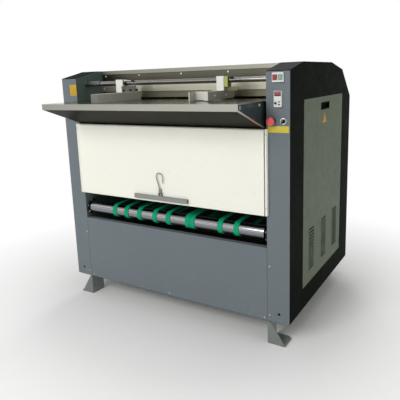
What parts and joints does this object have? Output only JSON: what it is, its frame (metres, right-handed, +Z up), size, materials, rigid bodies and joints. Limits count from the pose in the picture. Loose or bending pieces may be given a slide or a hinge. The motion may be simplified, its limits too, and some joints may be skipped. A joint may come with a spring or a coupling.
{
  "type": "paperboard v grooving machine",
  "caption": "Floor-standing board grooving machine: sloped feed tray, side guides on a rod, hinged front cover, belt exit, louvred side doors and column controls.",
  "frame": {"origin": "middle of the machine's box on the floor under the feet", "axes": "+X to the right as seen from the feed side, -Y towards the operator, +Z up"},
  "size_m": [1.512, 1.372, 1.455],
  "materials": {
    "column_paint": "satin",
    "housing_paint": "satin",
    "door_paint": "satin",
    "cover_paint": "gloss",
    "stainless": "brushed",
    "beam_paint": "satin",
    "bar_steel": "brushed",
    "chrome": "polished",
    "steel": "machined",
    "cast_iron": "cast",
    "belt_green": "satin",
    "belt_black": "matte",
    "block_white": "matte",
    "brass": "machined",
    "black_plastic": "matte",
    "white_plastic": "matte",
    "red_plastic": "gloss",
    "green_plastic": "gloss",
    "motor_paint": "satin",
    "foot_paint": "satin"
  },
  "bodies": {
    "frame": {"left_column": "column_paint", "right_column": "column_paint", "left_housing": "housing_paint", "right_housing": "housing_paint", "left_inner_wall": "housing_paint", "right_inner_wall": "housing_paint", "floor_pan": "housing_paint", "feet": "foot_paint", "lower_front_panel": "column_paint", "rear_panel": "housing_paint", "feed_table": "stainless", "tray_skirt": "stainless", "tray_end_plates": "housing_paint", "knife_beam": "beam_paint", "front_bar": "bar_steel", "pressure_plate": "beam_paint", "guide_rod": "chrome", "rod_sleeves": "chrome", "roller_bearings": "cast_iron", "feed_belts": "belt_green", "exit_belts": "belt_green", "knife_bar": "steel", "drum_guide": "stainless", "gear_motor": "motor_paint", "drive_belt": "belt_black", "cover_side_strips": "cover_paint", "hinge_pins": "steel", "switch_plate": "white_plastic", "keypad": "white_plastic", "control_bezels": "chrome"},
    "left_door": {"left_side_door": "door_paint", "left_door_pull": "black_plastic"},
    "right_door": {"right_side_door": "door_paint", "right_door_pull": "black_plastic"},
    "lid": {"top_lid": "stainless"},
    "cover": {"front_cover": "cover_paint", "cover_pull": "steel"},
    "hook": {"cover_hook": "chrome"},
    "left_fence": {"left_carriage": "block_white", "left_guide": "stainless"},
    "right_fence": {"right_carriage": "block_white", "right_clamp": "brass", "right_guide": "stainless"},
    "drum": {"grooving_drum": "steel", "drum_pulley": "cast_iron"},
    "front_feed": {"front_feed_roller": "chrome"},
    "rear_feed": {"rear_feed_roller": "chrome"},
    "exit": {"exit_roller": "chrome"},
    "rear_exit": {"rear_exit_roller": "chrome"},
    "motor_shaft": {"motor_pulley": "cast_iron"},
    "left_cutter": {"left_knife_holder": "steel", "left_knife": "steel"},
    "right_cutter": {"right_knife_holder": "steel", "right_knife": "steel"},
    "emergency_stop": {"stop_head": "red_plastic"},
    "selector": {"selector_knob": "black_plastic"},
    "stop_key": {"stop_button": "red_plastic"},
    "start_key": {"start_button": "green_plastic"},
    "speed_dial": {"speed_knob": "black_plastic"}
  },
  "joints": [
    {"name": "cover_hinge", "type": "hinge", "parent": "frame", "child": "cover", "pos_m": [0, -0.414, 1.129], "axis": [-1, 0, 0], "range_deg": [0, 100]},
    {"name": "hook_pivot", "type": "hinge", "parent": "cover", "child": "hook", "pos_m": [-0.009, -0.434, 0.756], "axis": [1, 0, 0], "range_deg": [0, 95]},
    {"name": "lid_hinge", "type": "hinge", "parent": "frame", "child": "lid", "pos_m": [0, 0.262, 1.446], "axis": [-1, 0, 0], "range_deg": [0, 75]},
    {"name": "left_door_pull_off", "type": "slide", "parent": "frame", "child": "left_door", "axis": [-1, 0, 0], "range_m": [0, 0.06]},
    {"name": "right_door_pull_off", "type": "slide", "parent": "frame", "child": "right_door", "axis": [1, 0, 0], "range_m": [0, 0.06]},
    {"name": "left_fence_slide", "type": "slide", "parent": "frame", "child": "left_fence", "axis": [1, 0, 0], "range_m": [-0.14, 0.24]},
    {"name": "right_fence_slide", "type": "slide", "parent": "frame", "child": "right_fence", "axis": [1, 0, 0], "range_m": [-0.24, 0.19]},
    {"name": "drum_spin", "type": "hinge", "parent": "frame", "child": "drum", "pos_m": [0, 0.076, 0.976], "axis": [1, 0, 0], "continuous": true},
    {"name": "front_feed_spin", "type": "hinge", "parent": "frame", "child": "front_feed", "pos_m": [0, -0.114, 1.3083], "axis": [1, 0, 0], "continuous": true},
    {"name": "rear_feed_spin", "type": "hinge", "parent": "frame", "child": "rear_feed", "pos_m": [0, 0.006, 1.3083], "axis": [1, 0, 0], "continuous": true},
    {"name": "exit_spin", "type": "hinge", "parent": "frame", "child": "exit", "pos_m": [0, -0.354, 0.595], "axis": [1, 0, 0], "continuous": true},
    {"name": "rear_exit_spin", "type": "hinge", "parent": "frame", "child": "rear_exit", "pos_m": [0, 0.006, 0.605], "axis": [1, 0, 0], "continuous": true},
    {"name": "motor_spin", "type": "hinge", "parent": "frame", "child": "motor_shaft", "pos_m": [0, 0.456, 0.358], "axis": [1, 0, 0], "continuous": true},
    {"name": "left_cutter_slide", "type": "slide", "parent": "frame", "child": "left_cutter", "axis": [1, 0, 0], "range_m": [-0.25, 0.14]},
    {"name": "right_cutter_slide", "type": "slide", "parent": "frame", "child": "right_cutter", "axis": [1, 0, 0], "range_m": [-0.14, 0.25]},
    {"name": "emergency_stop_push", "type": "slide", "parent": "frame", "child": "emergency_stop", "axis": [0, 1, 0], "range_m": [0, 0.004], "stiffness_N_per_m": 2000, "springref_m": -0.002},
    {"name": "selector_turn", "type": "hinge", "parent": "frame", "child": "selector", "pos_m": [0.719, -0.404, 1.178], "axis": [0, 1, 0], "range_deg": [-45, 45]},
    {"name": "stop_push", "type": "slide", "parent": "frame", "child": "stop_key", "axis": [0, 1, 0], "range_m": [0, 0.003], "stiffness_N_per_m": 600, "springref_m": -0.002},
    {"name": "start_push", "type": "slide", "parent": "frame", "child": "start_key", "axis": [0, 1, 0], "range_m": [0, 0.003], "stiffness_N_per_m": 600, "springref_m": -0.002},
    {"name": "speed_turn", "type": "hinge", "parent": "frame", "child": "speed_dial", "pos_m": [0.6835, -0.404, 1.264], "axis": [0, 1, 0], "range_deg": [-135, 135]}
  ],
  "couplings": [
    {"joint": "front_feed_spin", "follows": "drum_spin", "ratio": -10.601},
    {"joint": "rear_feed_spin", "follows": "drum_spin", "ratio": -10.601},
    {"joint": "exit_spin", "follows": "drum_spin", "ratio": -7.3529},
    {"joint": "rear_exit_spin", "follows": "drum_spin", "ratio": -7.3529},
    {"joint": "motor_spin", "follows": "drum_spin", "ratio": 1}
  ]
}
